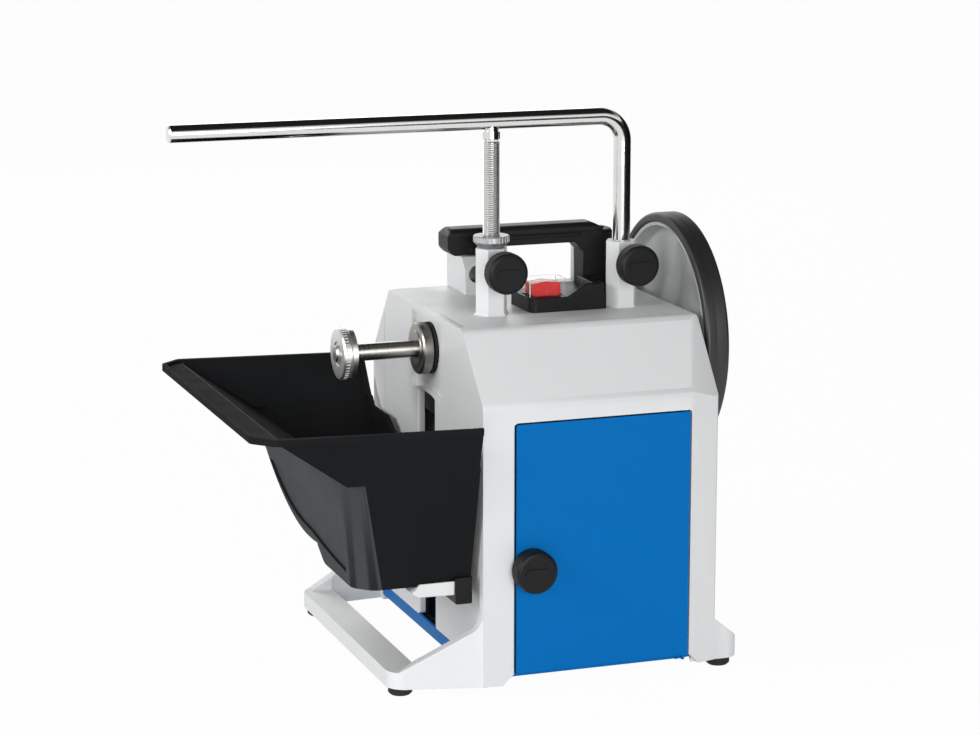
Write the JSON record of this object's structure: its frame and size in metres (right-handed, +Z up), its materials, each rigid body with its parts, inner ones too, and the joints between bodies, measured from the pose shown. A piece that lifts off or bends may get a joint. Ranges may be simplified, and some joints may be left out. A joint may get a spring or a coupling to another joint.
{
  "type": "wet stone sharpener",
  "caption": "Bench wet sharpener: grey housing with blue door, bare stone shaft over a black water trough, honing wheel, bent support bar in clamped sleeves, carry handle and red rocker switch.",
  "frame": {"origin": "on the table, under the middle of the whole outline", "axes": "+X along the main shaft from the stone side to the honing wheel, -Y the way the door faces, +Z up"},
  "size_m": [0.399, 0.274, 0.381],
  "materials": {
    "housing_grey": "fine textured light grey moulding",
    "cast_grey": "light grey painted zinc casting",
    "blue_steel": "smooth blue enamel on sheet steel",
    "black_plastic": "fine grained black moulding",
    "black_rubber": "matt",
    "honing_black": "dark honing band",
    "bright_steel": "drawn, zinc plated",
    "turned_zinc": "turned and tumbled",
    "wheel_grey": "grey moulding",
    "white_plastic": "pale moulding",
    "red_plastic": "translucent red",
    "clear_plastic": "clear moulded cover",
    "bush_plastic": "natural bearing plastic",
    "motor_steel": "grey painted",
    "motor_alloy": "die cast"
  },
  "bodies": {
    "base": {"housing": "housing_grey", "top_casting": "cast_grey", "chassis": "blue_steel", "feet": "black_rubber", "base_screws": "bright_steel", "shaft_bushes": "bush_plastic", "shaft_seal": "black_rubber", "guide_rods": "bright_steel", "rod_holder": "black_plastic", "handle": "black_plastic", "switch_housing": "black_plastic", "contact_block": "black_plastic", "switch_cover": "clear_plastic", "motor_can": "motor_steel", "motor_bells": "motor_alloy", "motor_cradle": "motor_steel", "motor_straps": "bright_steel", "strap_bolts": "bright_steel", "capacitor": "motor_alloy", "capacitor_clip": "black_plastic", "terminal_box": "black_plastic", "cable_gland": "black_plastic", "hinge_pins": "bright_steel"},
    "support": {"support_bar": "bright_steel", "threaded_leg": "bright_steel"},
    "micro_adjust": {"micro_nut": "turned_zinc"},
    "clamp_left": {"clamp_knob_left": "black_plastic", "clamp_stud_left": "bright_steel"},
    "clamp_right": {"clamp_knob_right": "black_plastic", "clamp_stud_right": "bright_steel"},
    "rear_clamp_left": {"rear_knob_left": "black_plastic", "rear_stud_left": "bright_steel"},
    "rear_clamp_right": {"rear_knob_right": "black_plastic", "rear_stud_right": "bright_steel"},
    "switch": {"rocker": "red_plastic"},
    "shaft": {"main_shaft": "bright_steel", "stone_flange": "turned_zinc", "wheel_core": "wheel_grey", "wheel_tread": "honing_black", "wheel_washer": "bright_steel", "wheel_nut": "black_plastic"},
    "stone_nut": {"lock_nut": "turned_zinc"},
    "motor": {"motor_spindle": "bright_steel", "drive_roller": "bright_steel"},
    "door": {"door_panel": "blue_steel"},
    "latch": {"door_knob": "black_plastic", "latch_tongue": "bright_steel"},
    "carrier": {"carrier_bar": "black_plastic", "carrier_arms": "white_plastic"},
    "trough": {"water_trough": "black_plastic"}
  },
  "joints": [
    {"name": "shaft_spin", "type": "hinge", "parent": "base", "child": "shaft", "pos_m": [0.0715, 0, 0.216], "axis": [1, 0, 0], "continuous": true},
    {"name": "motor_spin", "type": "hinge", "parent": "base", "child": "motor", "pos_m": [0.1315, 0, 0.148], "axis": [1, 0, 0], "continuous": true},
    {"name": "stone_nut_turn", "type": "hinge", "parent": "shaft", "child": "stone_nut", "pos_m": [-0.0735, 0, 0.216], "axis": [-1, 0, 0], "continuous": true},
    {"name": "support_raise", "type": "slide", "parent": "base", "child": "support", "axis": [0, 0, 1], "range_m": [0, 0.06]},
    {"name": "micro_turn", "type": "hinge", "parent": "support", "child": "micro_adjust", "pos_m": [0.0245, -0.025, 0.292], "axis": [0, 0, 1], "continuous": true},
    {"name": "clamp_left_turn", "type": "hinge", "parent": "base", "child": "clamp_left", "pos_m": [0.0245, -0.055, 0.275], "axis": [0, -1, 0], "range_deg": [0, 270]},
    {"name": "clamp_right_turn", "type": "hinge", "parent": "base", "child": "clamp_right", "pos_m": [0.1205, -0.055, 0.275], "axis": [0, -1, 0], "range_deg": [0, 270]},
    {"name": "rear_clamp_left_turn", "type": "hinge", "parent": "base", "child": "rear_clamp_left", "pos_m": [0.041, 0.07, 0.276], "axis": [0, 0, 1], "range_deg": [0, 270]},
    {"name": "rear_clamp_right_turn", "type": "hinge", "parent": "base", "child": "rear_clamp_right", "pos_m": [0.137, 0.07, 0.276], "axis": [0, 0, 1], "range_deg": [0, 270]},
    {"name": "switch_rock", "type": "hinge", "parent": "base", "child": "switch", "pos_m": [0.065, -0.018, 0.253], "axis": [0, 1, 0], "range_deg": [-8, 8]},
    {"name": "door_hinge", "type": "hinge", "parent": "base", "child": "door", "pos_m": [0.1315, -0.1155, 0.1], "axis": [0, 0, 1], "range_deg": [0, 100]},
    {"name": "latch_turn", "type": "hinge", "parent": "door", "child": "latch", "pos_m": [0.019, -0.125, 0.086], "axis": [0, -1, 0], "range_deg": [0, 90]},
    {"name": "carrier_slide", "type": "slide", "parent": "base", "child": "carrier", "axis": [0, 0, 1], "range_m": [-0.015, 0.015]},
    {"name": "trough_off", "type": "slide", "parent": "carrier", "child": "trough", "axis": [-1, 0, 0], "range_m": [0, 0.1]}
  ],
  "couplings": [
    {"joint": "motor_spin", "follows": "shaft_spin", "ratio": 10.486}
  ]
}
